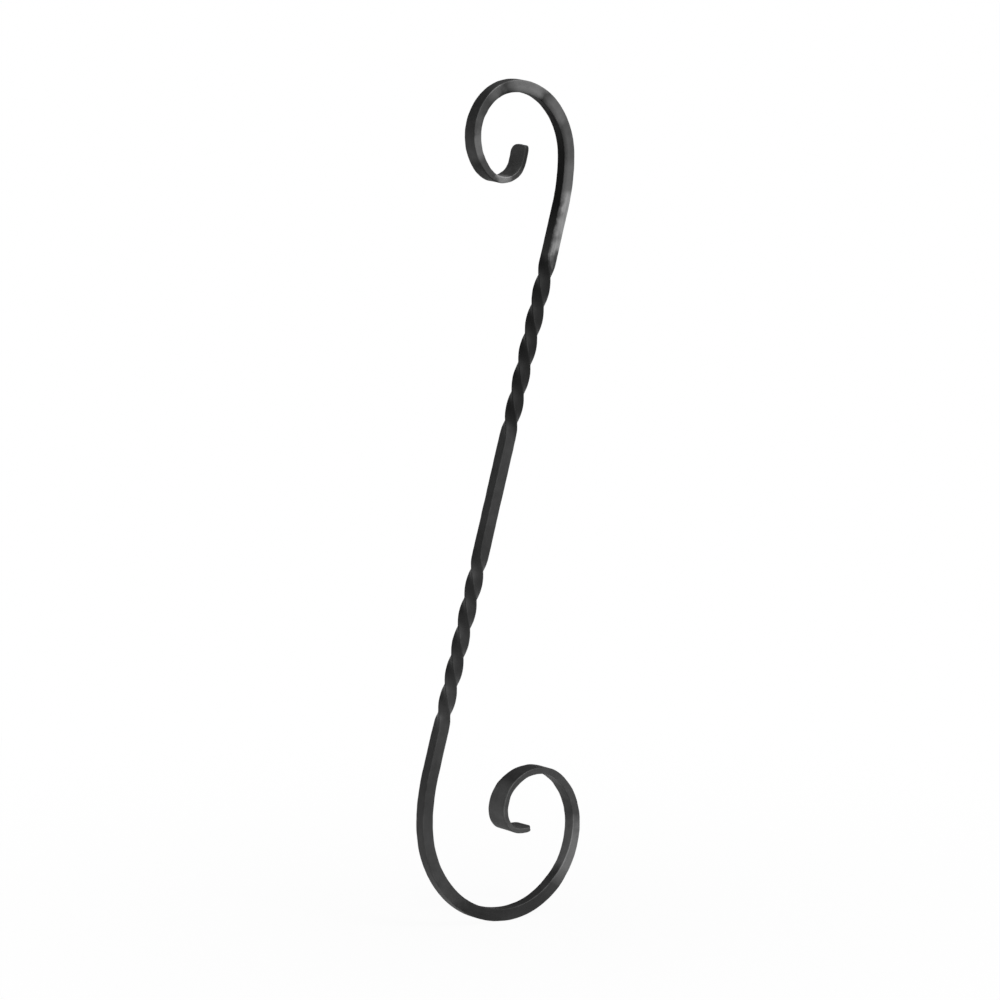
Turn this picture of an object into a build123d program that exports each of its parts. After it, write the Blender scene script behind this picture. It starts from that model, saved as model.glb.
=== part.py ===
"""Curved twisted baluster: one square bar, twisted in two places and scrolled at both ends.

The origin is the underside of the lower scroll at its lowest point, where the baluster is
welded to the bottom rail. +Z is up, and the shaft and both scrolls lie in the XZ plane.
"""

import os
from math import degrees

from build123d import *

# Square bar, with its corners broken by a small flat
bar_side = 12.0
corner_flat = 0.4

# Shaft, with its stretches in order from the lower bend to the upper one
shaft_lean = 16.0
lower_plain = 41.8
lower_twist = 173.5
middle_plain = 105.0
upper_twist = 175.5
upper_plain = 45.7

# Each twist is left-handed, and its first and last few millimetres turn at half the rate
twist_turns = 1.5
twist_run_in = 9.0

# Centre line of the upper end: the bend back to the vertical, then the radius of each
# eighth turn, over the crown of the arch and on into the scroll
upper_bend_radius = 172.0
upper_arch_radii = (74.2, 60.3)
upper_scroll_radii = (41.0, 45.6, 49.2, 24.1)
upper_eye_radius = 20.1
upper_eye_turn = 71.5

# Centre line of the lower end: the same from its bend down to the lowest point, and on
# round the rise into the scroll
lower_bend_radius = 175.0
lower_arch_radii = (99.0, 88.5)
lower_rise_radius = 80.5
lower_scroll_radii = (77.5, 61.5, 42.0, 41.5, 32.0, 21.0)
lower_eye_radius = 13.0
lower_eye_turn = 36.5

# Tips of the scrolls, drawn out thin and wide, with rounded noses
tip_length = 17.5
tip_bend_radius = 55.0
tip_thickness = 5.0
nose_radius = 9.5
upper_tip_width = 23.8
lower_tip_width = 31.3

# How the drawing out is spread over its length: 1 is even, more leaves it nearer to the tip
upper_thinning = 0.88
upper_spreading = 1.08
lower_thinning = 0.56
lower_spreading = 1.61

full_turn = 360.0
eighth_turn = full_turn / 8
tip_turn = degrees(tip_length / tip_bend_radius)


def bends(start, direction, arcs):
    """Lines of the centre line through a chain of arcs, each a radius and a turn in degrees."""
    lines = []
    for radius, turn in arcs:
        lines.append(JernArc(start, direction, radius, turn))
        start, direction = lines[-1] @ 1, lines[-1] % 1
    return lines


def runs(start, direction, lengths):
    """Lines of the centre line along a chain of straight stretches."""
    lines = []
    for length in lengths:
        lines.append(Line(start, start + direction * length))
        start = lines[-1] @ 1
    return lines


def eighths(radii, sense=1):
    """Arcs of an eighth turn each; a sense of -1 turns them clockwise, seen from the front."""
    return [(radius, sense * eighth_turn) for radius in radii]


def square_to(line, share=0.0):
    """Plane across a line of the bar, with its x axis through the thickness of the railing."""
    return Plane(line @ share, x_dir=(0, 1, 0), z_dir=line % share)


def bar_section(plane, width=bar_side, thickness=bar_side, rotation=0.0):
    """Section of the bar, its width through the railing and its thickness in the scroll's plane."""
    with BuildSketch(plane) as section:
        outline = Rectangle(width, thickness, rotation)
        chamfer(outline.vertices(), corner_flat)
    return section.sketch


def path_of(lines):
    """Path along a chain of lines."""
    return Wire([line.edge() for line in lines])


def plain_stretch(lines):
    """Bar that follows its centre line without a twist."""
    return sweep(bar_section(square_to(lines[0])), path_of(lines), mode=Mode.PRIVATE)


def twisted_stretch(line, turns, turned):
    """Bar that turns left-handed about a straight line, from where the turns below it ended."""
    with BuildLine(mode=Mode.PRIVATE) as guide:
        Helix(line.length / turns, line.length, bar_side, line @ 0, line % 0, lefthand=True)
    section = bar_section(square_to(line), rotation=-full_turn * turned)
    return sweep(section, path_of([line]), binormal=guide.edge(), mode=Mode.PRIVATE)


def drawn_out_end(lines, tip_width, thinning, spreading):
    """End of the bar that gets thinner and wider towards its tip."""
    total = sum(line.length for line in lines)
    gone = 0.0
    sections = [bar_section(square_to(lines[0]))]
    for line in lines:
        gone += line.length
        share = gone / total
        width = bar_side + (tip_width - bar_side) * share**spreading
        thickness = bar_side + (tip_thickness - bar_side) * share**thinning
        sections.append(bar_section(square_to(line, 1), width, thickness))
    return sweep(sections, path_of(lines), multisection=True, mode=Mode.PRIVATE)


def nose_corners(line, tip_width):
    """What the smith takes off the corners of a tip, seen on its wide face."""
    tip = square_to(line, 1)
    with BuildSketch(Plane(tip.origin, x_dir=tip.x_dir, z_dir=tip.y_dir)) as corners:
        Rectangle(tip_width * 2, nose_radius * 2)
        with Locations((0, tip_length)):
            RectangleRounded(tip_width, tip_length * 2, nose_radius, mode=Mode.SUBTRACT)
    return extrude(corners.sketch, tip_thickness, both=True, mode=Mode.PRIVATE)


def twist_stretches(length):
    """Lengths and turns of a twist: a slow run in, the even twist and a slow run out."""
    even_length = length - 2 * twist_run_in
    rate = twist_turns / (length - twist_run_in)
    run_in = (twist_run_in, rate * twist_run_in / 2)
    return [run_in, (even_length, rate * even_length), run_in]


# The shaft's stretches from its lower bend up, each a length and the turns in it
shaft_stretches = (
    [(lower_plain, 0)]
    + twist_stretches(lower_twist)
    + [(middle_plain, 0)]
    + twist_stretches(upper_twist)
    + [(upper_plain, 0)]
)

# The centre line goes up the shaft from its lowest point to the crown of the arch, and
# from both of these on into the scrolls
bottom = Vector(0, 0, bar_side / 2)
to_left = Vector(-1, 0, 0)
to_right = Vector(1, 0, 0)
with BuildLine(Plane.XZ, mode=Mode.PRIVATE):
    foot = bends(bottom, to_left, eighths(reversed(lower_arch_radii), -1)
                 + [(lower_bend_radius, -shaft_lean)])
    shaft_direction = foot[-1] % 1
    shaft = runs(foot[-1] @ 1, shaft_direction, [length for length, turns in shaft_stretches])
    arch = bends(shaft[-1] @ 1, shaft_direction, [(upper_bend_radius, shaft_lean)]
                 + eighths(upper_arch_radii))
    upper_scroll = bends(arch[-1] @ 1, to_left, eighths(upper_scroll_radii)
                         + [(upper_eye_radius, upper_eye_turn), (tip_bend_radius, tip_turn)])
    rise = bends(bottom, to_right, [(lower_rise_radius, eighth_turn)])
    lower_scroll = bends(rise[-1] @ 1, rise[-1] % 1, eighths(lower_scroll_radii)
                         + [(lower_eye_radius, lower_eye_turn), (tip_bend_radius, tip_turn)])

with BuildPart() as scroll_bar:
    add([plain_stretch(foot), plain_stretch(arch), plain_stretch(rise)])
    turned = 0.0
    for line, (length, turns) in zip(shaft, shaft_stretches):
        add(twisted_stretch(line, turns, turned) if turns else plain_stretch([line]))
        turned += turns
    add(drawn_out_end(upper_scroll, upper_tip_width, upper_thinning, upper_spreading))
    add(drawn_out_end(lower_scroll, lower_tip_width, lower_thinning, lower_spreading))
    add(nose_corners(upper_scroll[-1], upper_tip_width), mode=Mode.SUBTRACT)
    add(nose_corners(lower_scroll[-1], lower_tip_width), mode=Mode.SUBTRACT)

scroll_bar.part.label = "scroll_bar"
os.makedirs("parts", exist_ok=True)
export_step(scroll_bar.part, "parts/scroll_bar.step")
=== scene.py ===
import math

import bmesh
import bpy
from mathutils import Matrix, Vector, noise


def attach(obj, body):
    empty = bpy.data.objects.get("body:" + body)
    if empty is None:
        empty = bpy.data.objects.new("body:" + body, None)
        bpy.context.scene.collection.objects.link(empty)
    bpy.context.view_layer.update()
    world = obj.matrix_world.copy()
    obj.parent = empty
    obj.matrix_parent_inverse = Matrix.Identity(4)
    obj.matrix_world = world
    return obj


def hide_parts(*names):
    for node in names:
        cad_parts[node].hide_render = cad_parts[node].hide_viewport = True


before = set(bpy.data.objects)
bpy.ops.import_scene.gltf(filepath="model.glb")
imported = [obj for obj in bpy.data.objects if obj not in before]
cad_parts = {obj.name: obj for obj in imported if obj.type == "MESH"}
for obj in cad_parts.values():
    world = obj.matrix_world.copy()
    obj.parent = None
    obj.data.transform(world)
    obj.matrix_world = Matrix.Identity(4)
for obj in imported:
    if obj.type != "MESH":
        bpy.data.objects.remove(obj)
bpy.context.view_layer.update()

# The bar's own sizes, the same as in the CAD source, in metres and degrees
BAR_SIDE = 0.012
SHAFT_LEAN = 16.0
LOWER_PLAIN, LOWER_TWIST = 0.0418, 0.1735
MIDDLE_PLAIN = 0.105
UPPER_TWIST, UPPER_PLAIN = 0.1755, 0.0457
TWIST_TURNS = 1.5
TWIST_RUN_IN = 0.009
UPPER_BEND_RADIUS = 0.172
UPPER_ARCH_RADII = (0.0742, 0.0603)
UPPER_SCROLL_RADII = (0.041, 0.0456, 0.0492, 0.0241)
UPPER_EYE_RADIUS, UPPER_EYE_TURN = 0.0201, 71.5
LOWER_BEND_RADIUS = 0.175
LOWER_ARCH_RADII = (0.099, 0.0885)
LOWER_RISE_RADIUS = 0.0805
LOWER_SCROLL_RADII = (0.0775, 0.0615, 0.042, 0.0415, 0.032, 0.021)
LOWER_EYE_RADIUS, LOWER_EYE_TURN = 0.013, 36.5
TIP_LENGTH = 0.0175
TIP_BEND_RADIUS = 0.055
TIP_THICKNESS = 0.005
NOSE_RADIUS = 0.0095
SQUARE_CORNER = 0.003
UPPER_TIP_WIDTH, LOWER_TIP_WIDTH = 0.0238, 0.0313
UPPER_THINNING, UPPER_SPREADING = 0.88, 1.08
LOWER_THINNING, LOWER_SPREADING = 0.56, 1.61

# How finely the bar is laid out
RING_GAP = 0.0011
CORNER_RADIUS = 0.0012
CORNER_STEPS = 4
FLAT_CUTS = 7
NOSE_RINGS = 12

# What the hammer and the fire left on it: long shallow waves, round dents, knocked corners
WAVE_LENGTH, WAVE_DEPTH = 0.028, 0.0003
DENT_SIZE, DENT_DEPTH = 0.0085, 0.0003
KNOCK_LENGTH, KNOCK_DEPTH = 0.011, 0.0004
SHAFT_SHARE = 0.3

# Camera: the photograph is taken from far away, from the left and slightly above
VIEW_AZIMUTH = math.radians(-36)
VIEW_ELEVATION = math.radians(10)
CAMERA_DISTANCE = 8.0
AIM = Vector((-0.01089, 0.0, 0.40804))
SENSOR = 36.0
PIXELS = 1000
PIXELS_PER_METRE = 1075.0
AIM_PIXEL_X, AIM_PIXEL_Y = 494.7, 492.9

# The floor, and the low round wall on it that closes off what a level camera sees above it
FLOOR_SIZE = 60.0
WALL_RADIUS = 28.0
WALL_SIDES = 96
WALL_HEIGHT = 2.6


def twist_stretches(length):
    """Stretches of a left-handed twist, with its slow run in and run out."""
    rate = -math.tau * TWIST_TURNS / (length - TWIST_RUN_IN)
    even = length - 2 * TWIST_RUN_IN
    run_in = (TWIST_RUN_IN, None, rate * TWIST_RUN_IN / 2)
    return [run_in, (even, None, rate * even), run_in]


def bend(radius, degrees):
    """A bend whose radius is positive where it turns as the lowest bend does, up from the rail."""
    return (abs(radius) * math.radians(degrees), radius, 0.0)


def eighths(radii):
    return [bend(radius, 45) for radius in radii]


def plain(length):
    return (length, None, 0.0)


# Stretches on each side of the lowest point: length, radius if bent, and angle if twisted
TO_UPPER_END = (
    eighths(reversed(LOWER_ARCH_RADII)) + [bend(LOWER_BEND_RADIUS, SHAFT_LEAN), plain(LOWER_PLAIN)]
    + twist_stretches(LOWER_TWIST) + [plain(MIDDLE_PLAIN)] + twist_stretches(UPPER_TWIST)
    + [plain(UPPER_PLAIN), bend(-UPPER_BEND_RADIUS, SHAFT_LEAN)]
    + eighths(-radius for radius in UPPER_ARCH_RADII)
)
UPPER_SCROLL = eighths(-radius for radius in UPPER_SCROLL_RADII) + [
    bend(-UPPER_EYE_RADIUS, UPPER_EYE_TURN), (TIP_LENGTH, -TIP_BEND_RADIUS, 0.0)
]
TO_LOWER_END = eighths([LOWER_RISE_RADIUS])
LOWER_SCROLL = eighths(LOWER_SCROLL_RADII) + [
    bend(LOWER_EYE_RADIUS, LOWER_EYE_TURN), (TIP_LENGTH, TIP_BEND_RADIUS, 0.0)
]


def length_of(stretches):
    return sum(length for length, _, _ in stretches)


def station(stretches, distance, heading):
    """Frame of the bar's section at a distance from its lowest point.

    The heading is -1 for the side that leaves to the left, up the shaft, and 1 for the other.
    """
    spot = Matrix(((0, 0, heading, 0), (1, 0, 0, 0), (0, -1, 0, BAR_SIDE / 2), (0, 0, 0, 1)))
    turned = 0.0
    for length, radius, angle in stretches:
        gone = min(distance, length)
        if radius is None:
            spot = spot @ Matrix.Translation((0, 0, gone))
        else:
            centre = Vector((0, -radius, 0))
            spot = (spot @ Matrix.Translation(centre) @ Matrix.Rotation(gone / radius, 4, "X")
                    @ Matrix.Translation(-centre))
        turned += angle * gone / length
        distance -= gone
        if distance <= 0:
            break
    return spot @ Matrix.Rotation(turned, 4, "Z")


def rounding(left, radius):
    """How far a rounded end has drawn in, at a distance left before it."""
    short = max(0.0, radius - left)
    return radius - math.sqrt(radius**2 - short**2)


def drawn_size(share, left, tip_width, thinning, spreading, front_corner):
    """Width, shift towards the back, and thickness of a drawn-out end, at a share of its length."""
    width = BAR_SIDE + (tip_width - BAR_SIDE) * share**spreading
    thickness = BAR_SIDE + (TIP_THICKNESS - BAR_SIDE) * share**thinning
    front, back = rounding(left, front_corner), rounding(left, NOSE_RADIUS)
    return width - front - back, (front - back) / 2, thickness - 2 * rounding(left, CORNER_RADIUS)


def ring_at(along):
    """Frame, size and shift of the bar's section at a place along it, and how much it is hammered."""
    if along >= 0:
        way, scroll, heading = TO_UPPER_END, UPPER_SCROLL, -1
        shape = (UPPER_TIP_WIDTH, UPPER_THINNING, UPPER_SPREADING, SQUARE_CORNER)
    else:
        way, scroll, heading = TO_LOWER_END, LOWER_SCROLL, 1
        shape = (LOWER_TIP_WIDTH, LOWER_THINNING, LOWER_SPREADING, NOSE_RADIUS)
    distance = abs(along)
    share = max(0.0, distance - length_of(way)) / length_of(scroll)
    left = max(0.0, length_of(way) + length_of(scroll) - distance)
    size = drawn_size(share, left, *shape)
    hammered = SHAFT_SHARE + (1 - SHAFT_SHARE) * min(1.0, 2 * share)
    return station(way + scroll, distance, heading), size, hammered


def ring_places():
    """Places of the rings along the straight bar, closer together at the rounded noses."""
    low = -length_of(TO_LOWER_END) - length_of(LOWER_SCROLL)
    high = length_of(TO_UPPER_END) + length_of(UPPER_SCROLL)
    nose = [NOSE_RADIUS * (1 - math.cos(math.pi / 2 * step / NOSE_RINGS)) for step in range(NOSE_RINGS)]
    body = high - low - 2 * NOSE_RADIUS
    count = round(body / RING_GAP)
    even = [low + NOSE_RADIUS + body * step / count for step in range(count + 1)]
    return [low + left for left in nose] + even + [high - left for left in reversed(nose)]


def straight_bar(mesh, rings):
    """Square bar with rounded corners and divided flats, its rings one apart along Z."""
    bmesh.ops.create_cube(mesh, size=1.0, matrix=Matrix.Translation((0, 0, 0.5)))
    bmesh.ops.scale(mesh, vec=(BAR_SIDE, BAR_SIDE, rings - 1), verts=mesh.verts)
    bmesh.ops.bevel(mesh, geom=edges_along(mesh), offset=CORNER_RADIUS, offset_type="OFFSET",
                    segments=CORNER_STEPS, profile=0.5, affect="EDGES", material=-1)
    flats = [edge for edge in mesh.edges if BAR_SIDE / 2 < edge.calc_length() < BAR_SIDE]
    bmesh.ops.subdivide_edges(mesh, edges=flats, cuts=FLAT_CUTS, use_grid_fill=True)
    bmesh.ops.subdivide_edges(mesh, edges=edges_along(mesh), cuts=rings - 2, use_grid_fill=True)


def edges_along(mesh):
    return [edge for edge in mesh.edges if abs(edge.verts[0].co.z - edge.verts[1].co.z) > 0.5]


def spread(place, size):
    """Where a point of the plain section goes in one of another size; corners keep their radius."""
    flat = BAR_SIDE / 2 - CORNER_RADIUS
    return place + max(-1.0, min(1.0, place / flat)) * (size - BAR_SIDE) / 2


def hammer_depth(straight, hammered):
    """How deep a point lies under the plain face, from waves, dents and knocked corners."""
    wave = 0.5 + 0.5 * noise.noise(straight / WAVE_LENGTH)
    reach = noise.voronoi(straight / DENT_SIZE)[0][0]
    dent = max(0.0, 1 - (reach / 0.75) ** 2)
    depth = (wave * WAVE_DEPTH + dent * DENT_DEPTH) * hammered
    flat = BAR_SIDE / 2 - CORNER_RADIUS
    if min(abs(straight.x), abs(straight.y)) >= flat - 1e-6:
        knock = max(0.0, noise.noise(straight / KNOCK_LENGTH + Vector((7.1, 3.3, 0.0))))
        depth += knock * KNOCK_DEPTH * (0.5 + 0.5 * hammered)
    return depth


def forge_bar():
    """The straight bar, with its ends drawn out, then twisted, bent and hammered."""
    mesh = bmesh.new()
    places = ring_places()
    straight_bar(mesh, len(places))
    rings = [ring_at(along) for along in places]
    numbers = [round(point.co.z) for point in mesh.verts]
    straight = mesh.verts.layers.float_vector.new("straight_bar")
    for point, number in zip(mesh.verts, numbers):
        spot, (width, shift, thickness), _ = rings[number]
        across, through, _ = point.co
        point[straight] = (across, through, places[number])
        point.co = spot @ Vector((spread(across, width) + shift, spread(through, thickness), 0))
    bmesh.ops.recalc_face_normals(mesh, faces=mesh.faces)
    mesh.normal_update()
    dents = [point.normal * hammer_depth(point[straight], rings[number][2])
             for point, number in zip(mesh.verts, numbers)]
    for point, dent in zip(mesh.verts, dents):
        point.co -= dent
    for face in mesh.faces:
        face.smooth = True
    data = bpy.data.meshes.new("forged_bar")
    mesh.to_mesh(data)
    mesh.free()
    piece = bpy.data.objects.new("forged_bar", data)
    bpy.context.collection.objects.link(piece)
    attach(piece, "root")
    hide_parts("scroll_bar")
    return piece


class Node:
    """A socket of a material, with arithmetic on its values."""

    def __init__(self, tree, socket):
        self.tree = tree
        self.socket = socket

    def math(self, operation, other=None, swap=False):
        node = self.tree.nodes.new("ShaderNodeMath")
        node.operation = operation
        values = [self] if other is None else [self, other]
        for slot, value in zip(node.inputs, reversed(values) if swap else values):
            if isinstance(value, Node):
                self.tree.links.new(value.socket, slot)
            else:
                slot.default_value = value
        return Node(self.tree, node.outputs[0])

    def __add__(self, other):
        return self.math("ADD", other)

    __radd__ = __add__

    def __mul__(self, other):
        return self.math("MULTIPLY", other)

    __rmul__ = __mul__

    def __sub__(self, other):
        return self.math("SUBTRACT", other)

    def __rsub__(self, other):
        return self.math("SUBTRACT", other, swap=True)

    def __abs__(self):
        return self.math("ABSOLUTE")

    def least(self, other):
        return self.math("MINIMUM", other)

    def clamped(self):
        held = self.math("ADD", 0.0)
        held.socket.node.use_clamp = True
        return held

    def rise(self, start, end):
        """Goes from 0 at start to 1 at end, and stays there."""
        return ((self - start) * (1 / (end - start))).clamped()

    def within(self, low, high, soft):
        """1 between two values, and falls to 0 over a soft margin outside them."""
        return self.rise(low - soft, low) * (1 - self.rise(high, high + soft))


class Material:
    """A node material; its nodes are made by one method."""

    def __init__(self, name):
        self.material = bpy.data.materials.new(name)
        self.material.use_nodes = True
        self.tree = self.material.node_tree
        self.tree.nodes.clear()

    def node(self, kind, settings=None, output=0, **inputs):
        """Adds a node: its settings first, then the values or links of its named sockets."""
        made = self.tree.nodes.new("ShaderNode" + kind)
        for key, value in (settings or {}).items():
            setattr(made, key, value)
        for key, value in inputs.items():
            socket = made.inputs[int(key[1:]) if key[0] == "i" and key[1:].isdigit() else key.replace("_", " ")]
            if isinstance(value, Node):
                self.tree.links.new(value.socket, socket)
            else:
                socket.default_value = value
        return Node(self.tree, made.outputs[output])

    def mix(self, share, one, other):
        return self.node("Mix", {"data_type": "RGBA"}, 2, i0=share, i6=one, i7=other)

    def parts(self, vector):
        return [self.node("SeparateXYZ", None, axis, Vector=vector) for axis in range(3)]

    def scaled(self, vector, scales):
        return self.node("VectorMath", {"operation": "MULTIPLY"}, i0=vector, i1=scales)


def grey(value):
    return (value, value, value, 1.0)


# Tones of the steel, from the black of painted shade to bare metal
PAINTED_SHADE_BLACK, BLACK_SCALE, GREY_SCALE = 0.003, 0.016, 0.044
WORN_CORNER, RUBBED = 0.12, 0.17
BARE_DULL, BARE_BRIGHT = 0.24, 0.34

# Marks on the bar's faces: the face, where it starts and ends along the bar from its lowest
# point, minus towards the lower tip, how softly it fades there, and how strong it is
# Painted highlights: pale marks where light glints on the front faces, on faces turned up and on the tips
PAINTED_HIGHLIGHT_MARKS = (
    ("front", -0.300, -0.275, 0.010, 0.08), ("front", -0.275, -0.125, 0.030, 0.05),
    ("front", -0.114, -0.081, 0.020, 0.38), ("front", 0.072, 0.140, 0.022, 0.04),
    ("front", 0.750, 0.774, 0.014, 0.20), ("front", 0.786, 0.822, 0.014, 0.08),
    ("front", 0.828, 0.842, 0.012, 0.19), ("front", 0.866, 0.882, 0.012, 0.28),
    ("front", 0.907, 0.912, 0.010, 0.14), ("front", 0.940, 0.956, 0.012, 0.05),
    ("front", 0.962, 0.974, 0.014, 0.24), ("front", 1.011, 1.018, 0.006, 0.42),
    ("outer", -0.120, -0.088, 0.014, 0.36), ("inner", -0.264, -0.246, 0.016, 0.17),
    ("inner", 1.010, 1.018, 0.006, 0.40), ("inner", 1.038, 1.060, 0.012, 0.09),
)
# Painted shade: black marks on the inner side of the upper bend under the crown, on faces turned up towards the top
# lamp, along the twists and at the lowest point
PAINTED_SHADE_MARKS = (
    ("any", -0.038, 0.045, 0.020, 0.25), ("any", 0.300, 0.412, 0.025, 0.25),
    ("any", 0.530, 0.680, 0.012, 0.55), ("inner side", 0.738, 0.892, 0.050, 0.85),
    ("outer", 0.918, 0.935, 0.015, 0.35), ("inner", -0.230, -0.205, 0.015, 0.30),
    ("outer", 0.990, 1.010, 0.012, 0.60), ("front", 1.038, 1.062, 0.006, 0.50),
)

# The bare patch on the front face: its stretches, where it was ground brightest, and where
# the grinder skipped one side of it
BARE_STRETCHES = ((0.682, 0.692, 0.004, 0.45), (0.696, 0.750, 0.006, 0.60))
BRIGHT_STRETCHES = ((0.696, 0.702, 0.006, 0.60), (0.718, 0.724, 0.008, 0.40), (0.736, 0.746, 0.008, 0.60))
SKIPPED = (0.670, 0.693)


def forged_steel():
    """Black forged steel: scale in patches and streaks, fine pits, worn corners, one bare patch, and marks of painted
    highlights and painted shade.
    """
    steel = Material("forged_steel")
    place = steel.node("TexCoord", output=3)
    straight = steel.node("Attribute", {"attribute_name": "straight_bar"}, output=1)
    across, through, along = steel.parts(straight)

    clouds = steel.node("TexNoise", Vector=place, Scale=22.0, Detail=4.0, Roughness=0.55)
    patches = steel.node("TexNoise", Vector=place, Scale=130.0, Detail=4.0, Roughness=0.6)
    grit = steel.node("TexNoise", Vector=place, Scale=1400.0, Detail=2.0, Roughness=0.6)
    streaks = steel.node("TexNoise", Vector=steel.scaled(straight, (1.0, 1.0, 0.12)),
                         Scale=500.0, Detail=3.0, Roughness=0.6)
    pits = steel.node("TexVoronoi", Vector=place, Scale=520.0)

    flat = BAR_SIDE / 2 - CORNER_RADIUS
    outwards = {"front": 0 - across, "inner": through, "outer": 0 - through}
    on_face = {name: value.rise(flat, flat + 0.0008) for name, value in outwards.items()}
    on_face["inner side"] = through.rise(0.0012, flat + 0.0008)
    on_face["any"] = 1.0
    corner = abs(across).least(abs(through)).rise(flat - 0.0004, flat + 0.0006)
    ragged = along + (clouds - 0.5) * 0.04 + (patches - 0.5) * 0.012

    def marked(marks):
        return sum(ragged.within(low, high, soft) * on_face[face] * strength
                   for face, low, high, soft, strength in marks).clamped()


    tone = (clouds * 0.5 + patches * 0.35 + streaks * 0.15).rise(0.36, 0.64)
    colour = steel.mix(tone, grey(BLACK_SCALE), grey(GREY_SCALE))
    # Painted shade: these marks darken the colour towards black
    painted_shade = marked(PAINTED_SHADE_MARKS)
    colour = steel.mix(painted_shade, colour, grey(PAINTED_SHADE_BLACK))

    worn = (corner * (patches * 0.6 + clouds * 0.4).rise(0.42, 0.62)).clamped()
    colour = steel.mix(worn * (1 - painted_shade) * 0.2, colour, grey(WORN_CORNER))
    # Painted highlights: these marks lighten the colour towards pale grey
    painted_highlight = marked(PAINTED_HIGHLIGHT_MARKS) * (0.5 + clouds * 0.4 + patches * 0.6)
    colour = steel.mix(painted_highlight.clamped(), colour, grey(0.35))

    near = along + (clouds - 0.5) * 0.02 + (patches - 0.5) * 0.014
    ground = (0 - through + (patches - 0.5) * 0.006).rise(-0.0055, 0.0005) * on_face["front"]
    skipped = near.within(*SKIPPED, 0.006) * (0 - through).rise(-0.0020, 0.0022)
    bare = sum(near.within(low, high, soft) * strength
               for low, high, soft, strength in BARE_STRETCHES + BRIGHT_STRETCHES)
    bare = (bare * ground * (0.45 + patches * 0.9 + streaks * 0.2)
            * (1 - skipped * 0.85)).clamped()
    metal = steel.mix(streaks.rise(0.3, 0.7), grey(BARE_DULL), grey(BARE_BRIGHT))
    colour = steel.mix(bare, colour, metal)

    height_map = patches * 0.5 + grit * 0.12 + streaks * 0.2 * bare + pits.rise(0.0, 0.25) * 0.15
    bump = steel.node("Bump", Strength=0.5, Distance=0.00035, Height=height_map)
    shader = steel.node("BsdfPrincipled", Base_Color=colour, Metallic=0.35 + bare * 0.5 + painted_shade * 0.6,
                        Roughness=0.58 + painted_shade * 0.15 - worn * 0.12 - bare * 0.16 + (patches - 0.5) * 0.2, Normal=bump)
    out = steel.tree.nodes.new("ShaderNodeOutputMaterial")
    steel.tree.links.new(shader.socket, out.inputs["Surface"])
    return steel.material


def pale_floor(name):
    """Floor that the camera and reflections see as nearly white, with the object's soft shadow."""
    floor = Material(name)
    plain = floor.node("BsdfDiffuse", Color=grey(0.45))
    glow = floor.node("Emission", Color=grey(1.0), Strength=1.0)
    seen = floor.node("LightPath")
    mirrored = floor.node("LightPath", output=3)
    place = floor.node("TexCoord", output=3)
    reach = floor.node("VectorMath", {"operation": "LENGTH"}, 1, i0=place)
    near = 1 - reach.rise(0.1, 1.0)
    share = (seen + mirrored).clamped() * (1 - near * near * 0.04)
    shader = floor.node("MixShader", i0=share, i1=plain, i2=glow)
    out = floor.tree.nodes.new("ShaderNodeOutputMaterial")
    floor.tree.links.new(shader.socket, out.inputs["Surface"])
    return floor.material


def towards(azimuth, elevation):
    """Direction from the object to a viewer or lamp; azimuth 0 is in front, at -Y."""
    return Vector((
        math.sin(azimuth) * math.cos(elevation),
        -math.cos(azimuth) * math.cos(elevation),
        math.sin(elevation),
    ))


def add_camera():
    data = bpy.data.cameras.new("camera")
    data.sensor_width = SENSOR
    data.lens = SENSOR * PIXELS_PER_METRE * CAMERA_DISTANCE / PIXELS
    data.shift_x = (PIXELS / 2 - AIM_PIXEL_X) / PIXELS
    data.shift_y = (AIM_PIXEL_Y - PIXELS / 2) / PIXELS
    data.clip_end = 100.0
    camera = bpy.data.objects.new("camera", data)
    back = towards(VIEW_AZIMUTH, VIEW_ELEVATION)
    camera.location = AIM + back * CAMERA_DISTANCE
    camera.rotation_euler = (-back).to_track_quat("-Z", "Y").to_euler()
    bpy.context.collection.objects.link(camera)
    bpy.context.scene.camera = camera


def add_lamp(name, azimuth, elevation, distance, size, power):
    data = bpy.data.lights.new(name, "AREA")
    data.size = size
    data.energy = power
    lamp = bpy.data.objects.new(name, data)
    back = towards(math.radians(azimuth), math.radians(elevation))
    lamp.location = AIM + back * distance
    lamp.rotation_euler = (-back).to_track_quat("-Z", "Y").to_euler()
    bpy.context.collection.objects.link(lamp)


def add_stage(name, mesh, material):
    data = bpy.data.meshes.new(name)
    mesh.to_mesh(data)
    mesh.free()
    piece = bpy.data.objects.new(name, data)
    piece.data.materials.append(material)
    bpy.context.collection.objects.link(piece)


def add_floor():
    mesh = bmesh.new()
    bmesh.ops.create_grid(mesh, x_segments=1, y_segments=1, size=FLOOR_SIZE / 2)
    add_stage("floor", mesh, pale_floor("pale_floor"))


def add_wall():
    mesh = bmesh.new()
    bmesh.ops.create_circle(mesh, segments=WALL_SIDES, radius=WALL_RADIUS)
    bmesh.ops.extrude_edge_only(mesh, edges=mesh.edges[:])
    bmesh.ops.translate(mesh, vec=(0, 0, WALL_HEIGHT), verts=mesh.verts[WALL_SIDES:])
    material = pale_floor("pale_wall")
    material.cycles.emission_sampling = "NONE"
    add_stage("wall", mesh, material)


def add_world():
    world = bpy.data.worlds.new("studio")
    world.use_nodes = True
    background = world.node_tree.nodes["Background"]
    background.inputs["Color"].default_value = grey(1.0)
    background.inputs["Strength"].default_value = 0.19
    bpy.context.scene.world = world


forge_bar().data.materials.append(forged_steel())

add_camera()
add_floor()
add_wall()
add_world()
add_lamp("key", 8, 45, 3.0, 1.0, 96.0)
add_lamp("top", 0, 85, 3.0, 1.2, 20.0)
bpy.context.scene.view_settings.view_transform = "Standard"
